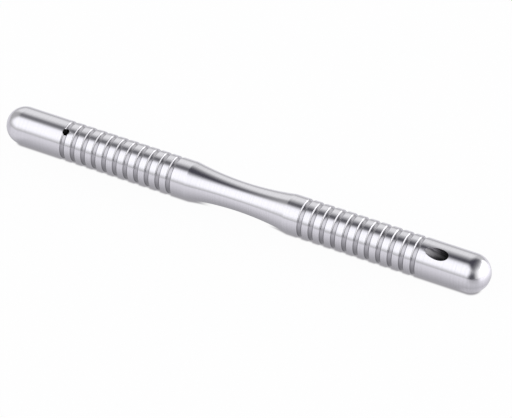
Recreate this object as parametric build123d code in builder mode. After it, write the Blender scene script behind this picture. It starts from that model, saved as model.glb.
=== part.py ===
from build123d import *
import os
from math import radians, tan

# A solid turned bar that lies along X: domed ends, ring grooves on both halves and a narrowed
# waist in the middle. A slanted cord hole opens near its +X end, and a small cross hole is
# drilled through its last groove at the -X end. Its middle is the origin.

# Driving dimensions, in millimetres and degrees
bar_diameter = 16
bar_length = 220
waist_length = 45
waist_diameter = 12.2
groove_count = 11  # on each half of the bar
groove_pitch = 5
first_groove = 30  # from the middle of the bar to the middle of the nearest groove
groove_floor = 1.3
groove_depth = 0.5
flank_angle = 45
cord_hole_diameter = 5
cord_hole_slant = 30  # between the hole and the bar
cord_hole_mouth = 88.5  # from the middle of the bar to the middle of the hole's mouth
cross_hole_diameter = 3
drilling_roll = 28  # turns the drilled side from straight up towards -Y

# Sizes worked out from them
radius = bar_diameter / 2
waist_radius = waist_diameter / 2
waist_end = waist_length / 2
dome_centre = bar_length / 2 - radius
last_groove = first_groove + groove_pitch * (groove_count - 1)
groove_places = [
    (side * (first_groove + groove_pitch * step), radius - groove_depth)
    for side in (-1, 1)
    for step in range(groove_count)
]

# The cutter stands clear of the bar by as much as it cuts, so that its flanks cross the surface.
cutter_height = 2 * groove_depth
cutter_width = groove_floor + 2 * cutter_height / tan(radians(flank_angle))

with BuildPart() as grip_bar:
    # Half of the lengthwise section, turned about the bar's axis
    with BuildSketch(Plane.XY) as half_section:
        with BuildLine():
            CenterArc((-dome_centre, 0), radius, 180, -90)
            Line((-dome_centre, radius), (-waist_end, radius))
            ThreePointArc((-waist_end, radius), (0, waist_radius), (waist_end, radius))
            Line((waist_end, radius), (dome_centre, radius))
            CenterArc((dome_centre, 0), radius, 90, -90)
            Line((dome_centre + radius, 0), (-dome_centre - radius, 0))
        make_face()
        with Locations(groove_places):
            Trapezoid(
                cutter_width,
                cutter_height,
                180 - flank_angle,
                align=(Align.CENTER, Align.MIN),
                mode=Mode.SUBTRACT,
            )
    revolve(axis=Axis.X)

    # Both holes are drilled in one plane through the bar's axis.
    drilled_side = Vector(0, 0, 1).rotate(Axis.X, drilling_roll)

    # The cord hole slants in from its mouth, through the domed end and out on its underside.
    mouth = Vector(cord_hole_mouth, 0, 0) + radius * drilled_side
    outward = Vector(-1, 0, 0).rotate(Axis.Y, cord_hole_slant).rotate(Axis.X, drilling_roll)
    with Locations(Plane(mouth, z_dir=outward)):
        Hole(cord_hole_diameter / 2)

    # The cross hole goes straight through the last groove.
    with Locations(Plane((-last_groove, 0, 0), z_dir=drilled_side)):
        Hole(cross_hole_diameter / 2)

grip_bar.part.label = "grip_bar"

os.makedirs("parts", exist_ok=True)
export_step(grip_bar.part, "parts/grip_bar.step")
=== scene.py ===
import math
import bmesh
import bpy
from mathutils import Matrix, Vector


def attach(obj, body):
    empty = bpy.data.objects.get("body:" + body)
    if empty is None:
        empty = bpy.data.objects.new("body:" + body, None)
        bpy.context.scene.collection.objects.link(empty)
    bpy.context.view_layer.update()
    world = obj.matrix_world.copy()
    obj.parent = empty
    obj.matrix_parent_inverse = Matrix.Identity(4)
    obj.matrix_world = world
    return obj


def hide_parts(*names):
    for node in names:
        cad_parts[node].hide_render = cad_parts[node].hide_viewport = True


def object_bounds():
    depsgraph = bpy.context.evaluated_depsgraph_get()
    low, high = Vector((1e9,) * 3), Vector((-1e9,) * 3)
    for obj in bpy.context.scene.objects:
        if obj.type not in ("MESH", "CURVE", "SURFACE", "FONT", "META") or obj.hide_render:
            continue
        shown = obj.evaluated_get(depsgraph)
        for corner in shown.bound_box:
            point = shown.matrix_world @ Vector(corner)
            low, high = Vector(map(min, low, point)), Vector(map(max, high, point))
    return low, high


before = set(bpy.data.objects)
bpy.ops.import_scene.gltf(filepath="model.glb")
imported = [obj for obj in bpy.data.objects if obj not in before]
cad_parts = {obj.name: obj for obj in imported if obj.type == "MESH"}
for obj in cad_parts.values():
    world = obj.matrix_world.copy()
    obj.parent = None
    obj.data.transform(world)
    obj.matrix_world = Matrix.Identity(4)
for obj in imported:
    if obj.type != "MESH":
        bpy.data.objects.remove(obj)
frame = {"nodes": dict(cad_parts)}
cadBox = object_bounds()
print("CAD frame loaded:", ", ".join(frame["nodes"]))

mm = 0.001

# The bar in millimetres, lying along X with its middle at the origin.
barSizes = {
    "radius": 8,
    "length": 220,
    "waistLength": 45,
    "waistRadius": 6.1,
    "firstGroove": 30,       # middle of the bar to the nearest groove
    "groovePitch": 5,
    "groovesPerHalf": 11,
    "grooveDepth": 0.5,
    "grooveFloor": 1.3,
    "flankRun": 0.5,         # how far a groove's slanted side runs along the bar
    "edgeSoftening": 0.1,    # cut back from each groove edge by the polishing
    "cornerSoftening": 0.2,  # fillet that the tool's nose leaves on a groove floor
    "waistSoftening": 0.25,
    "softeningSteps": 3,
    "weldDistance": 1e-3,
    "turnSteps": 192,
    "domeSteps": 20,
    "waistSteps": 32,
}


def makeActive(piece):
    bpy.ops.object.select_all(action="DESELECT")
    piece.select_set(True)
    bpy.context.view_layer.objects.active = piece


def inEditMode(piece):
    makeActive(piece)
    bpy.ops.object.mode_set(mode="EDIT")


def selectVerts(piece, test):
    # picks the points of the mesh in hand by their place
    bpy.ops.mesh.select_mode(type="VERT")
    shape = bmesh.from_edit_mesh(piece.data)
    for vert in shape.verts:
        vert.select = test(vert.co)
    shape.select_flush(True)
    bmesh.update_edit_mesh(piece.data)
    return sum(vert.select for vert in shape.verts)


def drawTo(here, there):
    # pulls the last point of the profile on to the next place
    step = (there[0] - here[0], there[1] - here[1], 0)
    bpy.ops.mesh.extrude_region_move(TRANSFORM_OT_translate={"value": step})
    return there


def sweepTo(here, centre, angle, steps, there):
    # carries the last point of the profile round an arc; a positive angle turns clockwise
    bpy.ops.mesh.spin(steps=steps, angle=angle, center=(centre[0], centre[1], 0), axis=(0, 0, 1))
    return there


def turnBar(sizes):
    radius = sizes["radius"]
    domeCentre = sizes["length"] / 2 - radius
    waistEnd = sizes["waistLength"] / 2
    floorRadius = radius - sizes["grooveDepth"]
    halfFloor = sizes["grooveFloor"] / 2
    halfMouth = halfFloor + sizes["flankRun"]
    grooves = [sizes["firstGroove"] + sizes["groovePitch"] * i for i in range(sizes["groovesPerHalf"])]

    bpy.ops.object.select_all(action="DESELECT")
    bpy.ops.mesh.primitive_plane_add(size=1)
    bar = bpy.context.active_object
    bar.name = "turnedBar"
    bar.data.name = "turnedBar"
    inEditMode(bar)
    bpy.ops.mesh.select_mode(type="VERT")
    bpy.ops.mesh.select_all(action="SELECT")
    bpy.ops.mesh.merge(type="CENTER")
    bpy.ops.transform.translate(value=(-sizes["length"] / 2, 0, 0))

    # half of the bar's outline, from the tip of one dome to the other
    here = (-sizes["length"] / 2, 0)
    here = sweepTo(here, (-domeCentre, 0), math.pi / 2, sizes["domeSteps"], (-domeCentre, radius))

    def drawGroove(here, middle):
        here = drawTo(here, (middle - halfMouth, radius))
        here = drawTo(here, (middle - halfFloor, floorRadius))
        here = drawTo(here, (middle + halfFloor, floorRadius))
        return drawTo(here, (middle + halfMouth, radius))

    for middle in reversed(grooves):
        here = drawGroove(here, -middle)
    here = drawTo(here, (-waistEnd, radius))
    sag = radius - sizes["waistRadius"]
    waistArc = (waistEnd ** 2 + sag ** 2) / (2 * sag)
    waistAngle = -2 * math.asin(waistEnd / waistArc)
    here = sweepTo(here, (0, sizes["waistRadius"] + waistArc), waistAngle, sizes["waistSteps"],
                   (waistEnd, radius))
    for middle in grooves:
        here = drawGroove(here, middle)
    here = drawTo(here, (domeCentre, radius))
    here = sweepTo(here, (domeCentre, 0), math.pi / 2, sizes["domeSteps"], (sizes["length"] / 2, 0))

    # edges that the polishing has softened, and the fillets at the groove floors
    near = sizes["weldDistance"]
    beyondWaist = sizes["firstGroove"] - sizes["groovePitch"]
    beforeDome = grooves[-1] + sizes["groovePitch"]

    def onGrooveEdge(co):
        return abs(co.y - radius) < near and beyondWaist < abs(co.x) < beforeDome

    def onGrooveFloor(co):
        return abs(co.y - floorRadius) < near and beyondWaist < abs(co.x) < beforeDome

    def onWaistEnd(co):
        return abs(abs(co.x) - waistEnd) < near and abs(co.y - radius) < near

    for test, offset in (
        (onGrooveEdge, sizes["edgeSoftening"]),
        (onGrooveFloor, sizes["cornerSoftening"]),
        (onWaistEnd, sizes["waistSoftening"]),
    ):
        print("softening", selectVerts(bar, test), "corners by", offset)
        bpy.ops.mesh.bevel(offset=offset, offset_type="OFFSET", segments=sizes["softeningSteps"],
                           affect="VERTICES")

    # a whole turn round the bar's axis
    bpy.ops.mesh.select_all(action="SELECT")
    bpy.ops.mesh.spin(steps=sizes["turnSteps"], angle=2 * math.pi, center=(0, 0, 0), axis=(1, 0, 0))
    bpy.ops.mesh.select_all(action="SELECT")
    bpy.ops.mesh.remove_doubles(threshold=near)
    bpy.ops.mesh.normals_make_consistent(inside=False)
    bpy.ops.object.mode_set(mode="OBJECT")
    print("turned", len(bar.data.polygons), "faces")
    return bar


# Both holes are drilled from the same side, turned a little from straight up.
drillSizes = {
    "roll": 28,              # degrees from straight up towards -Y
    "cordHoleRadius": 2.5,
    "cordHoleSlant": 30,     # degrees between the hole and the bar
    "cordHoleMouth": 88.5,
    "crossHoleRadius": 1.5,
    "crossHolePlace": -80,
    "cordCutterLength": 90,  # long enough to come out at the far side
    "crossCutterLength": 30,
    "cutterSides": 96,
    "deburr": 0.12,
}


def drillHole(bar, boreFinish, middle, direction, radius, length, sides):
    bpy.ops.object.select_all(action="DESELECT")
    bpy.ops.mesh.primitive_cylinder_add(
        vertices=sides, radius=radius, depth=length, location=middle,
        rotation=Vector(direction).to_track_quat("Z", "Y").to_euler())
    drill = bpy.context.active_object
    drill.name = "drill"
    drill.data.materials.append(boreFinish)
    cut = bar.modifiers.new("drilled", "BOOLEAN")
    cut.operation = "DIFFERENCE"
    cut.solver = "MANIFOLD"
    cut.object = drill
    cut.material_mode = "TRANSFER"
    makeActive(bar)
    bpy.ops.object.modifier_apply(modifier=cut.name)
    bpy.data.objects.remove(drill)


def crossHoleWay(sizes):
    roll = math.radians(sizes["roll"])
    return Vector((0, -math.sin(roll), math.cos(roll)))


def cordHoleWay(sizes):
    slant = math.radians(sizes["cordHoleSlant"])
    return Vector((-math.cos(slant), 0, 0)) + math.sin(slant) * crossHoleWay(sizes)


def drillBar(bar, sizes, boreFinish):
    mouth = Vector((sizes["cordHoleMouth"], 0, 0)) + barSizes["radius"] * crossHoleWay(sizes)
    drillHole(bar, boreFinish, mouth, cordHoleWay(sizes),
              sizes["cordHoleRadius"], sizes["cordCutterLength"], sizes["cutterSides"])
    drillHole(bar, boreFinish, (sizes["crossHolePlace"], 0, 0), crossHoleWay(sizes),
              sizes["crossHoleRadius"], sizes["crossCutterLength"], sizes["cutterSides"])

    # the sharp rims are taken off
    inEditMode(bar)
    bpy.ops.mesh.select_all(action="DESELECT")
    bpy.ops.mesh.select_mode(type="EDGE")
    shape = bmesh.from_edit_mesh(bar.data)
    for edge in shape.edges:
        kinds = {face.material_index for face in edge.link_faces}
        edge.select = len(kinds) == 2
    shape.select_flush(True)
    bmesh.update_edit_mesh(bar.data)
    bpy.ops.mesh.bevel(offset=sizes["deburr"], segments=2, affect="EDGES", clamp_overlap=True, material=0)
    bpy.ops.object.mode_set(mode="OBJECT")
    print("drilled,", len(bar.data.polygons), "faces")


def plug(tree, socket, value):
    # a socket takes either another node's output or a plain value
    if isinstance(value, bpy.types.NodeSocket):
        tree.links.new(value, socket)
    else:
        socket.default_value = value


def addNode(tree, kind, **values):
    # a node with its settings; a value for a socket is given by the socket's name after "in_"
    node = tree.nodes.new(kind)
    for name, value in values.items():
        if name.startswith("in_"):
            plug(tree, node.inputs[name[3:].replace("_", " ")], value)
        else:
            setattr(node, name, value)
    return node


def calculate(tree, operation, first, second=0.0, third=0.0):
    node = tree.nodes.new("ShaderNodeMath")
    node.operation = operation
    for socket, value in zip(node.inputs, (first, second, third)):
        plug(tree, socket, value)
    return node.outputs[0]


def fade(tree, value, start, end, low=0.0, high=1.0):
    # rises smoothly from low to high while value goes from start to end
    node = tree.nodes.new("ShaderNodeMapRange")
    node.interpolation_type = "SMOOTHSTEP"
    tree.links.new(value, node.inputs["Value"])
    node.inputs["From Min"].default_value = start
    node.inputs["From Max"].default_value = end
    node.inputs["To Min"].default_value = low
    node.inputs["To Max"].default_value = high
    return node.outputs["Result"]


def mixColours(tree, share, first, second):
    # goes from the first colour to the second as share goes from 0 to 1
    node = addNode(tree, "ShaderNodeMix", data_type="RGBA")
    tree.links.new(share, node.inputs["Factor"])
    plug(tree, node.inputs[6], first)
    plug(tree, node.inputs[7], second)
    return node.outputs[2]


def scaleColour(tree, colour, share):
    node = addNode(tree, "ShaderNodeVectorMath", operation="SCALE")
    tree.links.new(colour, node.inputs[0])
    tree.links.new(share, node.inputs["Scale"])
    return node.outputs[0]


def newMetal(name):
    finish = bpy.data.materials.new(name)
    finish.use_nodes = True
    tree = finish.node_tree
    tree.nodes.clear()
    out = addNode(tree, "ShaderNodeOutputMaterial")
    shader = addNode(tree, "ShaderNodeBsdfPrincipled")
    tree.links.new(shader.outputs["BSDF"], out.inputs["Surface"])
    shader.inputs["Metallic"].default_value = 1
    return finish, tree, shader


def distanceFromAxis(tree, parts):
    # in millimetres, from the bar's own axis
    across = calculate(tree, "MULTIPLY", parts.outputs["Y"], 1 / mm)
    upward = calculate(tree, "MULTIPLY", parts.outputs["Z"], 1 / mm)
    return calculate(tree, "SQRT", calculate(
        tree, "MULTIPLY_ADD", across, across, calculate(tree, "MULTIPLY", upward, upward)))


aluminium = {
    "colour": (0.87, 0.862, 0.895, 1),
    "shade": (0.80, 0.79, 0.82, 1),     # the darker rings
    "roughness": 0.17,
    # Groove colours: partly the duller as-cut metal, partly painted shade in the recesses.
    "grooveColour": (0.61, 0.60, 0.63, 1),     # left as they were cut, so duller, and darkened further by painted shade in the recess
    "flankColour": (0.63, 0.62, 0.65, 1),
    "floorPaintedShade": 0.72,                 # what the painted shade low down leaves of a groove's colours
    "flankPaintedShade": 0.51,
    "grooveRoughness": 0.26,
    "floorShadeHeights": (-3.5, 5.0),   # over the axis, between which the painted shade fades out
    "flankShadeHeights": (1.0, 4.5),
    "groovesStart": (25.0, 26.0),       # from the bar's middle, where the duller, painted-shaded groove colour fades in
    "groovesStop": (84.0, 83.0),
    "grooveTop": (7.95, 7.85),          # from the axis, where the polished metal gives way
    "floorTop": (7.75, 7.52),
    "anisotropy": 0.6,
    "anisotropyTurn": 0.25,
    "fineRings": 7.0,                   # turning marks per millimetre
    "broadRings": 0.45,
    "fineShare": 0.35,
    "broadShare": 0.65,
    "ringContrast": (0.62, 0.3),
    "patchScale": 130.0,
    "wornRoughness": 0.05,
    "bumpStrength": 0.25,
    "bumpDistance": 0.000004,
}


def turnedAluminium(look):
    finish, tree, shader = newMetal("turnedAluminium")
    shader.inputs["Anisotropic"].default_value = look["anisotropy"]
    shader.inputs["Anisotropic Rotation"].default_value = look["anisotropyTurn"]
    lay = addNode(tree, "ShaderNodeTangent", direction_type="RADIAL", axis="X")
    tree.links.new(lay.outputs["Tangent"], shader.inputs["Tangent"])

    place = addNode(tree, "ShaderNodeTexCoord").outputs["Object"]
    parts = addNode(tree, "ShaderNodeSeparateXYZ", in_Vector=place)
    along = calculate(tree, "MULTIPLY", parts.outputs["X"], 1 / mm)
    upward = calculate(tree, "MULTIPLY", parts.outputs["Z"], 1 / mm)
    fromAxis = distanceFromAxis(tree, parts)

    # turning marks are rings: fine ones from the feed, broad ones from the polishing
    fine = addNode(tree, "ShaderNodeTexNoise", noise_dimensions="1D", in_Detail=3.0,
                   in_W=calculate(tree, "MULTIPLY", along, look["fineRings"])).outputs["Fac"]
    broad = addNode(tree, "ShaderNodeTexNoise", noise_dimensions="1D", in_Detail=2.0,
                    in_W=calculate(tree, "MULTIPLY", along, look["broadRings"])).outputs["Fac"]
    patches = addNode(tree, "ShaderNodeTexNoise", in_Vector=place, in_Scale=look["patchScale"],
                      in_Detail=3.0).outputs["Fac"]

    rings = calculate(tree, "ADD", calculate(tree, "MULTIPLY", fine, look["fineShare"]),
                      calculate(tree, "MULTIPLY", broad, look["broadShare"]))
    polished = mixColours(tree, fade(tree, rings, *look["ringContrast"]), look["colour"], look["shade"])

    # the grooves are left as they were cut, so duller, with painted shade in them that is darker low down
    fromMiddle = calculate(tree, "ABSOLUTE", along)
    ringed = calculate(tree, "MULTIPLY", fade(tree, fromMiddle, *look["groovesStart"]),
                       fade(tree, fromMiddle, *look["groovesStop"]))
    inGroove = calculate(tree, "MULTIPLY", fade(tree, fromAxis, *look["grooveTop"]), ringed)
    onFloor = fade(tree, fromAxis, *look["floorTop"])
    cut = mixColours(tree, onFloor, look["flankColour"], look["grooveColour"])
    # painted shade: the groove colours get darker towards the bottom of the bar
    floorShadeFactor = fade(tree, upward, *look["floorShadeHeights"], look["floorPaintedShade"], 1.0)
    flankShadeFactor = fade(tree, upward, *look["flankShadeHeights"], look["flankPaintedShade"], 1.0)
    paintedShadeFactor = calculate(tree, "MULTIPLY_ADD", onFloor,
                      calculate(tree, "SUBTRACT", floorShadeFactor, flankShadeFactor), flankShadeFactor)
    dulledAndShaded = mixColours(tree, inGroove, polished, scaleColour(tree, cut, paintedShadeFactor))
    tree.links.new(dulledAndShaded, shader.inputs["Base Color"])
    wear = look["wornRoughness"]
    worn = calculate(tree, "ADD", calculate(tree, "MULTIPLY", patches, wear),
                     calculate(tree, "MULTIPLY", fine, wear))
    roughness = calculate(tree, "ADD", worn, fade(
        tree, inGroove, 0.0, 1.0, look["roughness"] - wear, look["grooveRoughness"] - wear))
    tree.links.new(roughness, shader.inputs["Roughness"])

    bump = addNode(tree, "ShaderNodeBump", in_Strength=look["bumpStrength"],
                   in_Distance=look["bumpDistance"], in_Height=rings)
    tree.links.new(bump.outputs["Normal"], shader.inputs["Normal"])
    return finish


boreLook = {
    "colour": (0.66, 0.645, 0.67, 1),
    "shade": (0.30, 0.29, 0.31, 1),
    "roughness": 0.4,
    "deepPaintedShade": 0.25,        # painted shade: what is left of the colour in the middle of the bar
    "deepShadeReach": (4.6, 8.0), # from the axis, where the painted shade ends and the colour comes back
    "streakLength": 1 / 150,
    "streakWidth": 1 / 2600,
    "streakContrast": (0.35, 0.65),
    "streakRoughness": 0.2,
    "bumpStrength": 0.4,
    "bumpDistance": 0.00003,
}


def drilledBore(look, sizes):
    finish, tree, shader = newMetal("drilledBore")

    # drag marks run with the hole: the pattern is long that way and short across it
    place = addNode(tree, "ShaderNodeTexCoord").outputs["Object"]
    turned = addNode(tree, "ShaderNodeMapping", vector_type="TEXTURE", in_Vector=place)
    turned.inputs["Rotation"].default_value = cordHoleWay(sizes).to_track_quat("X", "Z").to_euler()
    turned.inputs["Scale"].default_value = (look["streakLength"], look["streakWidth"], look["streakWidth"])
    streaks = addNode(tree, "ShaderNodeTexNoise", in_Vector=turned.outputs["Vector"], in_Scale=1.0,
                      in_Detail=4.0).outputs["Fac"]
    streaked = mixColours(tree, fade(tree, streaks, *look["streakContrast"]), look["shade"], look["colour"])
    fromAxis = distanceFromAxis(tree, addNode(tree, "ShaderNodeSeparateXYZ", in_Vector=place))
    # painted shade: the bore's colour gets darker deeper inside the bar, towards its axis
    paintedDepthShade = fade(tree, fromAxis, *look["deepShadeReach"], look["deepPaintedShade"], 1.0)
    tree.links.new(scaleColour(tree, streaked, paintedDepthShade), shader.inputs["Base Color"])
    roughness = calculate(tree, "ADD", look["roughness"] - look["streakRoughness"] / 2,
                          calculate(tree, "MULTIPLY", streaks, look["streakRoughness"]))
    tree.links.new(roughness, shader.inputs["Roughness"])
    bump = addNode(tree, "ShaderNodeBump", in_Strength=look["bumpStrength"],
                   in_Distance=look["bumpDistance"], in_Height=streaks)
    tree.links.new(bump.outputs["Normal"], shader.inputs["Normal"])
    return finish


turnedFinish = turnedAluminium(aluminium)
boreFinish = drilledBore(boreLook, drillSizes)
print("finishes made")

turnedBar = turnBar(barSizes)
turnedBar.data.materials.append(turnedFinish)
drillBar(turnedBar, drillSizes, boreFinish)
makeActive(turnedBar)
turnedBar.scale = (mm, mm, mm)
bpy.ops.object.transform_apply(location=False, rotation=False, scale=True)
bpy.ops.object.shade_smooth_by_angle(angle=math.radians(35))
weighted = turnedBar.modifiers.new("weighted", "WEIGHTED_NORMAL")
weighted.keep_sharp = True
bpy.ops.object.modifier_apply(modifier=weighted.name)

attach(turnedBar, "root")
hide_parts("grip_bar")
print("bar finished")

# A pale floor under the bar. It is seen as white with a painted contact shadow, its plain surface takes a
# faint share of the bar's real shadow, and the metal mirrors a painted glow of it.
floorLook = {
    "size": 6.0,
    "gap": 0.00002,             # metres below the bar, so that the two don't touch
    "colour": (0.72, 0.715, 0.735, 1),
    "roughness": 0.4,
    "whiteSeen": 0.93,
    "white": 1.03,
    "contactShade": (0.335, 0.325, 0.35, 1),   # painted shadow: how light the floor stays where the bar touches it
    "contactReach": (3.2, 5.2), # millimetres to either side
    "grooveRetreat": 0.38,      # how much less that is under a groove
    "grooveSlip": 1.8,          # the light comes in under the grooves aslant, from the right
    "grooveZone": (2.5, 2.0),   # how far the row of grooves reaches past its outermost ones
    "grooveWidth": (1.4, 0.5),
    "waistRetreat": 1.5,        # how fast the contact shade goes as the waist lifts off
    "waistClear": (0.2, 1.5),
    "mirroredTint": (0.985, 0.973, 1.024, 1),
    "nearTone": 0.82,           # painted glow that the metal mirrors of it, near the bar and far off
    "farTone": 0.62,
    "backTone": -0.07,
    "sunkenTone": 0.46,         # share left in the painted shade under the bar
    "farReach": (60.0, 500.0),  # millimetres off, from the near tone to the far one
    "backReach": (50.0, 200.0),
    "domeTone": 0.11,           # painted light that gets in under the domes
    "domeStart": (0.0, 4.0),
    "domeReach": (900.0, 100.0),        # squared millimetres
    "domeCover": 0.78,          # how much of its cover the bar keeps past its ends
    "domeSunkenTone": 0.67,     # share left in the painted shade under the right dome
    "domeSunkenStart": (-6.0, 2.0),
    "domeSunkenReach": (140.0, 50.0),   # squared millimetres
    "sunkenPower": 3.0,
    "waistOpening": 0.35,       # how much of the waist's lift opens the floor to the light
    # Patches of painted light and shade on the floor past the bar's ends, only in what the metal mirrors of
    # it. They are given, not traced: degrees round from -Y, how far off that they reach, and millimetres
    # out.
    "patches": (
        {"side": 1, "towards": 115.0, "reach": (62.0, 34.0), "spread": (8.0, 50.0), "tone": 0.42},
        {"side": 1, "towards": 36.0, "reach": (44.0, 6.0), "spread": (-60.0, 110.0), "tone": -0.39},
        {"side": -1, "towards": -75.0, "reach": (29.0, 8.0), "spread": (-60.0, 110.0), "tone": -0.2},
    ),
}


def measureFromBar(tree):
    # where a point of the floor lies from the bar over it, in millimetres
    place = addNode(tree, "ShaderNodeTexCoord").outputs["Object"]
    place = addNode(tree, "ShaderNodeSeparateXYZ", in_Vector=place)
    along = calculate(tree, "MULTIPLY", place.outputs["X"], 1 / mm)
    aside = calculate(tree, "MULTIPLY", place.outputs["Y"], 1 / mm)
    asideSquared = calculate(tree, "MULTIPLY", aside, aside)
    inWaist = calculate(tree, "DIVIDE", along, barSizes["waistLength"] / 2)
    waistDepth = calculate(tree, "MAXIMUM", 0.0, calculate(
        tree, "SUBTRACT", 1.0, calculate(tree, "MULTIPLY", inWaist, inWaist)))
    lift = calculate(tree, "MULTIPLY", waistDepth, barSizes["radius"] - barSizes["waistRadius"])
    domeCentre = barSizes["length"] / 2 - barSizes["radius"]
    past = calculate(tree, "MAXIMUM", 0.0, calculate(
        tree, "SUBTRACT", calculate(tree, "ABSOLUTE", along), domeCentre))
    return {
        "along": along,
        "aside": aside,
        "asideSquared": asideSquared,
        "lift": lift,
        "past": past,
        "farSquared": calculate(tree, "MULTIPLY_ADD", past, past, asideSquared),
    }


def paintedMirrorTone(tree, look, spot):
    # painted reflection: the glow that the metal mirrors of the floor, with painted shade where the bar
    # would shut out the light and painted patches of light and shade
    radius = barSizes["radius"]
    domeCentre = barSizes["length"] / 2 - radius
    above = calculate(tree, "SUBTRACT", radius, calculate(
        tree, "MULTIPLY", spot["lift"], look["waistOpening"]))
    covered = calculate(tree, "DIVIDE", calculate(tree, "MULTIPLY", above, radius),
                        calculate(tree, "ADD", spot["farSquared"], radius ** 2))
    covered = calculate(tree, "MULTIPLY", covered,
                        fade(tree, spot["past"], 0.0, radius, 1.0, look["domeCover"]))
    openSky = calculate(tree, "SUBTRACT", 1.0, covered)

    away = calculate(tree, "SQRT", calculate(
        tree, "MULTIPLY_ADD", spot["along"], spot["along"], spot["asideSquared"]))
    tone = calculate(tree, "ADD",
                     fade(tree, away, *look["farReach"], look["nearTone"], look["farTone"]),
                     fade(tree, spot["aside"], *look["backReach"], 0.0, look["backTone"]))
    nearDome = calculate(tree, "MULTIPLY", fade(tree, spot["past"], *look["domeStart"]),
                         fade(tree, spot["farSquared"], *look["domeReach"]))
    tone = calculate(tree, "MULTIPLY_ADD", nearDome, look["domeTone"], tone)
    for patch in look["patches"]:
        outward = calculate(tree, "SUBTRACT", spot["along"], patch["side"] * domeCentre)
        turned = calculate(tree, "DEGREES", calculate(
            tree, "ARCTAN2", outward, calculate(tree, "MULTIPLY", spot["aside"], -1.0)))
        fromEnd = calculate(tree, "SQRT", calculate(
            tree, "ADD", spot["asideSquared"], calculate(tree, "MULTIPLY", outward, outward)))
        offPatch = calculate(tree, "ABSOLUTE", calculate(tree, "SUBTRACT", turned, patch["towards"]))
        inPatch = calculate(tree, "MULTIPLY", fade(tree, offPatch, *patch["reach"]),
                            fade(tree, fromEnd, *patch["spread"]))
        tone = calculate(tree, "MULTIPLY_ADD", inPatch, patch["tone"], tone)

    pastEnd = calculate(tree, "SUBTRACT", spot["along"], domeCentre)
    underDome = calculate(tree, "MULTIPLY", fade(tree, pastEnd, *look["domeSunkenStart"]),
                          fade(tree, spot["farSquared"], *look["domeSunkenReach"]))
    sunken = fade(tree, underDome, 0.0, 1.0, look["sunkenTone"], look["domeSunkenTone"])
    shade = calculate(tree, "MULTIPLY_ADD", calculate(tree, "POWER", openSky, look["sunkenPower"]),
                      calculate(tree, "SUBTRACT", 1.0, sunken), sunken)
    return calculate(tree, "MULTIPLY", tone, shade)


def contactShade(tree, look, spot):
    # painted shadow on the floor where the bar touches it, drawn back under each groove and the waist
    pitch = barSizes["groovePitch"]
    firstGroove = barSizes["firstGroove"]
    lastGroove = firstGroove + pitch * (barSizes["groovesPerHalf"] - 1)
    outer, inner = look["grooveZone"]
    aslant = calculate(tree, "ABSOLUTE", calculate(tree, "ADD", spot["along"], look["grooveSlip"]))
    offGroove = calculate(tree, "PINGPONG", calculate(
        tree, "ABSOLUTE", calculate(tree, "SUBTRACT", aslant, firstGroove)), pitch / 2)
    underGroove = calculate(tree, "MULTIPLY", fade(tree, aslant, firstGroove - outer, firstGroove - inner),
                            fade(tree, aslant, lastGroove + outer, lastGroove + inner))
    underGroove = calculate(tree, "MULTIPLY", underGroove, fade(tree, offGroove, *look["grooveWidth"]))
    reached = calculate(tree, "MULTIPLY_ADD", spot["lift"], look["waistRetreat"],
                        calculate(tree, "SQRT", spot["farSquared"]))
    reached = calculate(tree, "MULTIPLY_ADD", underGroove, look["grooveRetreat"], reached)
    clear = calculate(tree, "MAXIMUM", fade(tree, reached, *look["contactReach"]),
                      fade(tree, spot["lift"], *look["waistClear"]))
    return mixColours(tree, fade(tree, clear, 0.0, 1.0), look["contactShade"], (1, 1, 1, 1))


def makeFloor(look):
    bpy.ops.object.select_all(action="DESELECT")
    bpy.ops.mesh.primitive_plane_add(size=look["size"], location=(0, 0, cadBox[0].z - look["gap"]))
    floor = bpy.context.active_object
    floor.name = "studioFloor"
    paper = bpy.data.materials.new("paleFloor")
    paper.use_nodes = True
    tree = paper.node_tree
    tree.nodes.clear()
    out = addNode(tree, "ShaderNodeOutputMaterial")
    spot = measureFromBar(tree)
    paintedMirrorGlow = addNode(tree, "ShaderNodeEmission", in_Color=look["mirroredTint"],
                           in_Strength=paintedMirrorTone(tree, look, spot))
    seenGlow = addNode(tree, "ShaderNodeEmission", in_Color=contactShade(tree, look, spot),
                       in_Strength=look["white"])
    surface = addNode(tree, "ShaderNodeBsdfPrincipled", in_Base_Color=look["colour"],
                      in_Roughness=look["roughness"])

    # the camera sees the white with its painted shadow, the metal mirrors the painted glow, and the plain
    # surface lights the bar
    ray = addNode(tree, "ShaderNodeLightPath")
    seen = addNode(tree, "ShaderNodeMixShader")
    straightOn = calculate(tree, "MULTIPLY", ray.outputs["Is Camera Ray"], look["whiteSeen"])
    tree.links.new(straightOn, seen.inputs[0])
    tree.links.new(surface.outputs["BSDF"], seen.inputs[1])
    tree.links.new(seenGlow.outputs["Emission"], seen.inputs[2])
    mirrored = addNode(tree, "ShaderNodeMixShader")
    tree.links.new(calculate(tree, "MAXIMUM", ray.outputs["Is Glossy Ray"],
                             ray.outputs["Is Transmission Ray"]), mirrored.inputs[0])
    tree.links.new(seen.outputs[0], mirrored.inputs[1])
    tree.links.new(paintedMirrorGlow.outputs["Emission"], mirrored.inputs[2])
    tree.links.new(mirrored.outputs[0], out.inputs["Surface"])
    floor.data.materials.append(paper)


makeFloor(floorLook)

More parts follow.
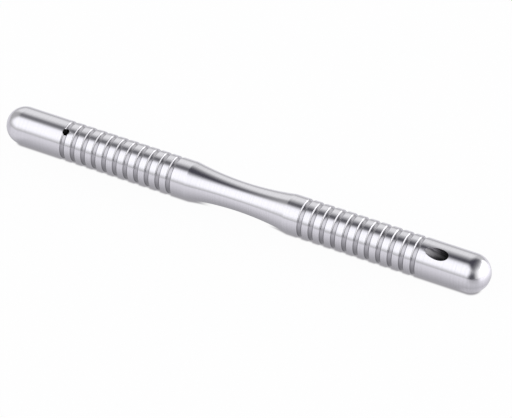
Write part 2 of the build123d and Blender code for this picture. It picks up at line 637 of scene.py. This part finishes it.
# The room round the bar, in degrees: azimuth 0 is the front (-Y) and grows towards +X.
# Each side of a panel is given by where it starts to show and where it is full.
room = {
    "wall": (0.56, 0.56, 0.565, 1),
    "panels": {
        "leftGap": {"left": (-130, -114), "right": (-76, -93), "bottom": (-8, 0), "top": (75, 50),
                    "light": (0.45, 0.45, 0.455, 1)},
        "backPanel": {"left": (-180, -158), "right": (-111, -133), "bottom": (2, 26), "top": (80, 60),
                      "light": (0.86, 0.86, 0.865, 1)},
        "leftSoftBox": {"left": (-93, -57), "right": (22, 4), "bottom": (0, 23), "top": (95, 90),
                        "light": (1.12, 1.12, 1.16, 1)},
        "leftLamp": {"left": (-80, -55), "right": (4, -12), "bottom": (16, 34), "top": (60, 42),
                     "light": (1.17, 1.17, 1.20, 1)},
        "rightSoftBox": {"left": (48, 72), "right": (162, 142), "bottom": (-20, -8), "top": (75, 10),
                         "light": (1.25, 1.25, 1.25, 1)},
        "sideLamp": {"left": (76, 96), "right": (146, 130), "bottom": (-4, 8), "top": (44, 34),
                     "light": (2.05, 2.05, 2.05, 1)},
        "sideLampEnd": {"left": (120, 136), "right": (167, 154), "bottom": (-4, 8), "top": (37, 25),
                        "light": (2.3, 2.3, 2.3, 1)},
        "cameraGap": {"left": (8, 24), "right": (52, 36), "bottom": (-8, 0), "top": (58, 22),
                      "light": (0.12, 0.12, 0.138, 1)},
        "cameraGapFoot": {"left": (-4, 17.5), "right": (48, 34), "bottom": (-8, 0), "top": (33, 14),
                          "light": (0.08, 0.08, 0.094, 1)},
        "backHorizon": {"left": (-180, -172), "right": (-118, -134), "bottom": (-12, -4), "top": (18, 3),
                        "light": (0.49, 0.49, 0.495, 1)},
    },
    "ceiling": (0.058, 0.056, 0.072, 1),
    "ceilingSlant": (0.71, -1.2),    # how its front and back edge run across the room
    "ceilingFront": (-0.76, -0.10),  # across the room over height: where it starts and is full
    "ceilingBack": (1.62, 0.36),
    "ceilingRight": (1.2, 0.05),
}


def lightRoom(look):
    world = bpy.data.worlds.new("studioRoom")
    bpy.context.scene.world = world
    world.use_nodes = True
    tree = world.node_tree
    tree.nodes.clear()
    out = addNode(tree, "ShaderNodeOutputWorld")
    direction = addNode(tree, "ShaderNodeTexCoord").outputs["Generated"]
    direction = addNode(tree, "ShaderNodeSeparateXYZ", in_Vector=direction)
    toRight, toBack, up = (direction.outputs[axis] for axis in "XYZ")
    azimuth = calculate(tree, "DEGREES", calculate(
        tree, "ARCTAN2", toRight, calculate(tree, "MULTIPLY", toBack, -1.0)))
    elevation = calculate(tree, "DEGREES", calculate(tree, "ARCSINE", up))

    light = look["wall"]
    for panel in look["panels"].values():
        across = calculate(tree, "MULTIPLY", fade(tree, azimuth, *panel["left"]),
                           fade(tree, azimuth, *panel["right"]))
        upwards = calculate(tree, "MULTIPLY", fade(tree, elevation, *panel["bottom"]),
                            fade(tree, elevation, *panel["top"]))
        light = mixColours(tree, calculate(tree, "MULTIPLY", across, upwards), light, panel["light"])
    height = calculate(tree, "MAXIMUM", up, 0.01)
    sideways = calculate(tree, "DIVIDE", toRight, height)
    backwards = calculate(tree, "DIVIDE", toBack, height)
    frontEdge, backEdge = (calculate(tree, "MULTIPLY_ADD", sideways, slant, backwards)
                           for slant in look["ceilingSlant"])
    overhead = calculate(tree, "MULTIPLY", fade(tree, sideways, *look["ceilingRight"]),
                         calculate(tree, "MULTIPLY", fade(tree, frontEdge, *look["ceilingFront"]),
                                   fade(tree, backEdge, *look["ceilingBack"])))
    light = mixColours(tree, overhead, light, look["ceiling"])
    ray = addNode(tree, "ShaderNodeLightPath")
    light = mixColours(tree, ray.outputs["Is Camera Ray"], light, (1, 1, 1, 1))
    background = addNode(tree, "ShaderNodeBackground")
    tree.links.new(light, background.inputs["Color"])
    tree.links.new(background.outputs["Background"], out.inputs["Surface"])


lightRoom(room)
print("floor and light placed")

# The camera looks down on the bar from the front right.
cameraPlace = {
    "azimuth": 28.05,
    "elevation": 38.4,
    "distance": 1.2119,
    "target": (0.00885, -0.00431, 0.0),
    "lens": 212.14,
    "sensorWidth": 36,
    "nearest": 0.05,
    "farthest": 20,
}


def placeCamera(place):
    camera = bpy.data.objects.new("camera", bpy.data.cameras.new("camera"))
    bpy.context.scene.collection.objects.link(camera)
    azimuth = math.radians(place["azimuth"])
    elevation = math.radians(place["elevation"])
    away = Vector((math.sin(azimuth) * math.cos(elevation),
                   -math.cos(azimuth) * math.cos(elevation), math.sin(elevation)))
    camera.location = Vector(place["target"]) + place["distance"] * away
    camera.rotation_euler = (-away).to_track_quat("-Z", "Y").to_euler()
    camera.data.lens = place["lens"]
    camera.data.sensor_width = place["sensorWidth"]
    camera.data.clip_start = place["nearest"]
    camera.data.clip_end = place["farthest"]
    bpy.context.scene.camera = camera


placeCamera(cameraPlace)
bpy.context.scene.view_settings.view_transform = "Standard"
print("camera placed")
